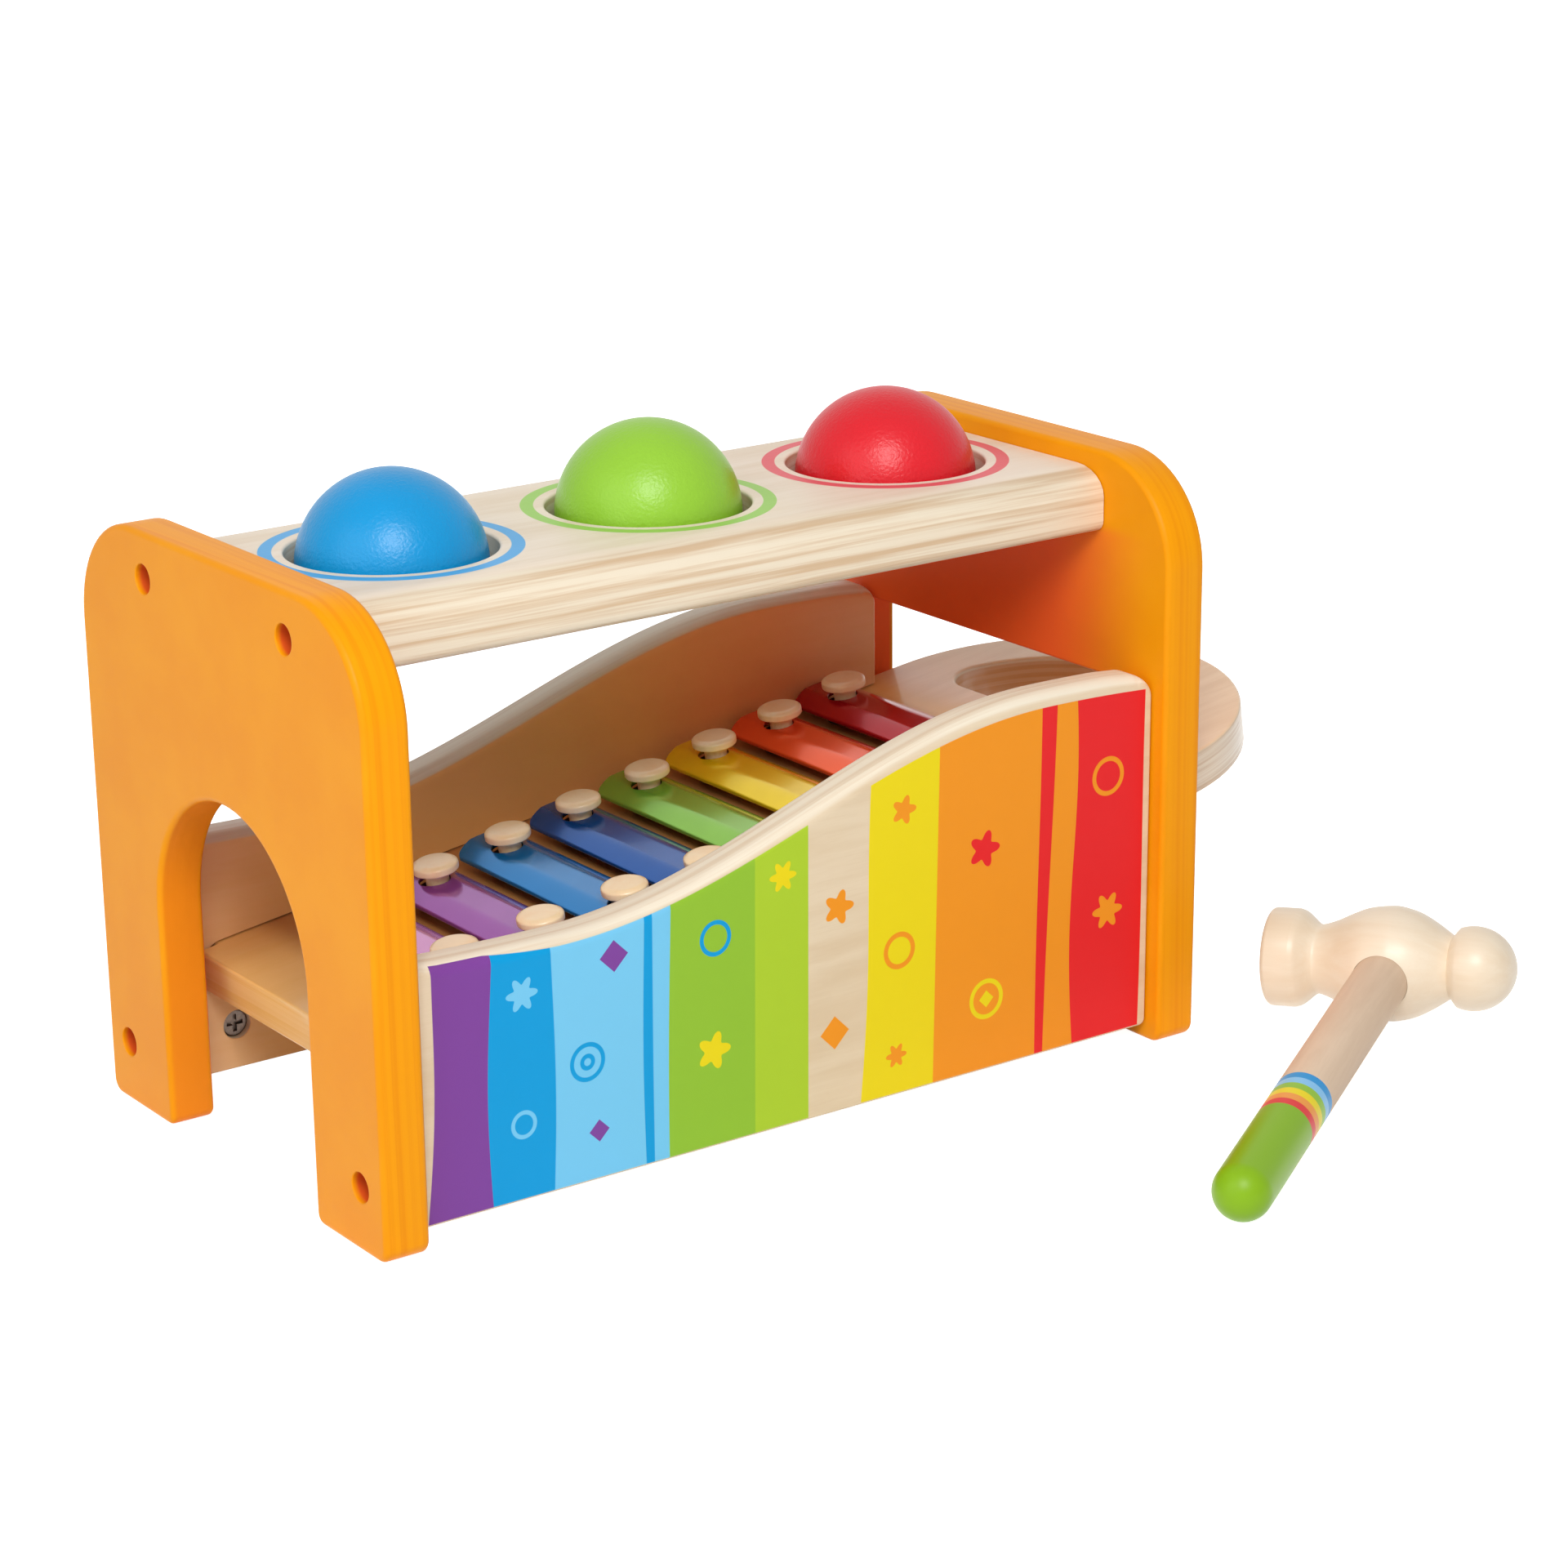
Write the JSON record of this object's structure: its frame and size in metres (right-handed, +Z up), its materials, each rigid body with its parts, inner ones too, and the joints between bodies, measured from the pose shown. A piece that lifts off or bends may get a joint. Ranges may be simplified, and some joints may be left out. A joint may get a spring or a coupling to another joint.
{
  "type": "xylophone pounding bench",
  "caption": "Wooden toy bench: balls are hammered through its top onto a sloping xylophone, which slides out to be played with the mallet.",
  "frame": {"origin": "the middle of the whole set's bounding box (bench and the mallet lying before it), on the floor plane", "axes": "+X along the bench from the arched end panel to the end that the xylophone slides out of, +Y from the striped front board to the back board, +Z up"},
  "size_m": [0.3332, 0.2532, 0.178],
  "materials": {
    "orange_paint": "satin orange paint over plywood",
    "printed_plywood": "clear satin varnish on pale plywood, with printed rings round the ball holes",
    "striped_plywood": "satin printed stripes over pale plywood",
    "bare_plywood": "clear satin varnish on pale plywood",
    "deck_plywood": "clear satin varnish on plywood",
    "blue_ball_paint": "gloss paint",
    "green_ball_paint": "gloss paint",
    "red_ball_paint": "gloss paint",
    "mallet_head_wood": "smooth pale turned wood with clear varnish",
    "mallet_handle_wood": "bare wood with painted bands and a painted grip",
    "pink_bar": "gloss enamel",
    "purple_bar": "gloss enamel",
    "light_blue_bar": "gloss enamel",
    "dark_blue_bar": "gloss enamel",
    "green_bar": "gloss enamel",
    "yellow_bar": "gloss enamel",
    "orange_bar": "gloss enamel",
    "red_bar": "gloss enamel",
    "pin_wood": "smooth pale wood",
    "pad_rubber": "matt black",
    "ring_rubber": "matt dark",
    "bolt_steel": "zinc plated",
    "nut_steel": "dull dark zinc"
  },
  "bodies": {
    "bench": {"left_end_panel": "orange_paint", "right_end_panel": "orange_paint", "top_board": "printed_plywood", "front_board": "striped_plywood", "back_board": "bare_plywood", "ball_ring_left": "ring_rubber", "ball_ring_middle": "ring_rubber", "ball_ring_right": "ring_rubber", "top_screw_left_front": "bolt_steel", "top_screw_left_back": "bolt_steel", "top_screw_right_front": "bolt_steel", "top_screw_right_back": "bolt_steel", "low_bolt_left_front": "bolt_steel", "low_bolt_left_back": "bolt_steel", "low_bolt_right_front": "bolt_steel", "low_bolt_right_back": "bolt_steel", "barrel_nut_left_front": "nut_steel", "barrel_nut_left_back": "nut_steel", "barrel_nut_right_front": "nut_steel", "barrel_nut_right_back": "nut_steel"},
    "xylophone": {"xylophone_board": "deck_plywood", "pin_1_front": "pin_wood", "pin_1_back": "pin_wood", "pin_2_front": "pin_wood", "pin_2_back": "pin_wood", "pin_3_front": "pin_wood", "pin_3_back": "pin_wood", "pin_4_front": "pin_wood", "pin_4_back": "pin_wood", "pin_5_front": "pin_wood", "pin_5_back": "pin_wood", "pin_6_front": "pin_wood", "pin_6_back": "pin_wood", "pin_7_front": "pin_wood", "pin_7_back": "pin_wood", "pin_8_front": "pin_wood", "pin_8_back": "pin_wood", "bar_pad_1": "pad_rubber", "bar_pad_2": "pad_rubber", "bar_pad_3": "pad_rubber", "bar_pad_4": "pad_rubber", "bar_pad_5": "pad_rubber", "bar_pad_6": "pad_rubber", "bar_pad_7": "pad_rubber", "bar_pad_8": "pad_rubber"},
    "bar_1": {"bar_1": "pink_bar"},
    "bar_2": {"bar_2": "purple_bar"},
    "bar_3": {"bar_3": "light_blue_bar"},
    "bar_4": {"bar_4": "dark_blue_bar"},
    "bar_5": {"bar_5": "green_bar"},
    "bar_6": {"bar_6": "yellow_bar"},
    "bar_7": {"bar_7": "orange_bar"},
    "bar_8": {"bar_8": "red_bar"},
    "ball_left": {"ball_left": "blue_ball_paint"},
    "ball_middle": {"ball_middle": "green_ball_paint"},
    "ball_right": {"ball_right": "red_ball_paint"},
    "mallet": {"mallet_head": "mallet_head_wood", "mallet_handle": "mallet_handle_wood"}
  },
  "joints": [
    {"name": "xylophone_slide", "type": "slide", "parent": "bench", "child": "xylophone", "axis": [0.9893, 0, 0.1461], "range_m": [0, 0.25]},
    {"name": "ball_left_knock", "type": "slide", "parent": "bench", "child": "ball_left", "axis": [0, 0, 1], "range_m": [-0.0734, 0.03], "deforming": ["ball_ring_left"]},
    {"name": "ball_middle_knock", "type": "slide", "parent": "bench", "child": "ball_middle", "axis": [0, 0, 1], "range_m": [-0.0637, 0.03], "deforming": ["ball_ring_middle"]},
    {"name": "ball_right_knock", "type": "slide", "parent": "bench", "child": "ball_right", "axis": [0, 0, 1], "range_m": [-0.0503, 0.03], "deforming": ["ball_ring_right"]},
    {"name": "bar_1_lift", "type": "slide", "parent": "xylophone", "child": "bar_1", "axis": [-0.1461, 0, 0.9893], "range_m": [0, 0.002]},
    {"name": "bar_2_lift", "type": "slide", "parent": "xylophone", "child": "bar_2", "axis": [-0.1461, 0, 0.9893], "range_m": [0, 0.002]},
    {"name": "bar_3_lift", "type": "slide", "parent": "xylophone", "child": "bar_3", "axis": [-0.1461, 0, 0.9893], "range_m": [0, 0.002]},
    {"name": "bar_4_lift", "type": "slide", "parent": "xylophone", "child": "bar_4", "axis": [-0.1461, 0, 0.9893], "range_m": [0, 0.002]},
    {"name": "bar_5_lift", "type": "slide", "parent": "xylophone", "child": "bar_5", "axis": [-0.1461, 0, 0.9893], "range_m": [0, 0.002]},
    {"name": "bar_6_lift", "type": "slide", "parent": "xylophone", "child": "bar_6", "axis": [-0.1461, 0, 0.9893], "range_m": [0, 0.002]},
    {"name": "bar_7_lift", "type": "slide", "parent": "xylophone", "child": "bar_7", "axis": [-0.1461, 0, 0.9893], "range_m": [0, 0.002]},
    {"name": "bar_8_lift", "type": "slide", "parent": "xylophone", "child": "bar_8", "axis": [-0.1461, 0, 0.9893], "range_m": [0, 0.002]},
    {"name": "mallet_lift", "type": "slide", "parent": "bench", "child": "mallet", "axis": [0, 0, 1], "range_m": [0, 0.12]}
  ]
}
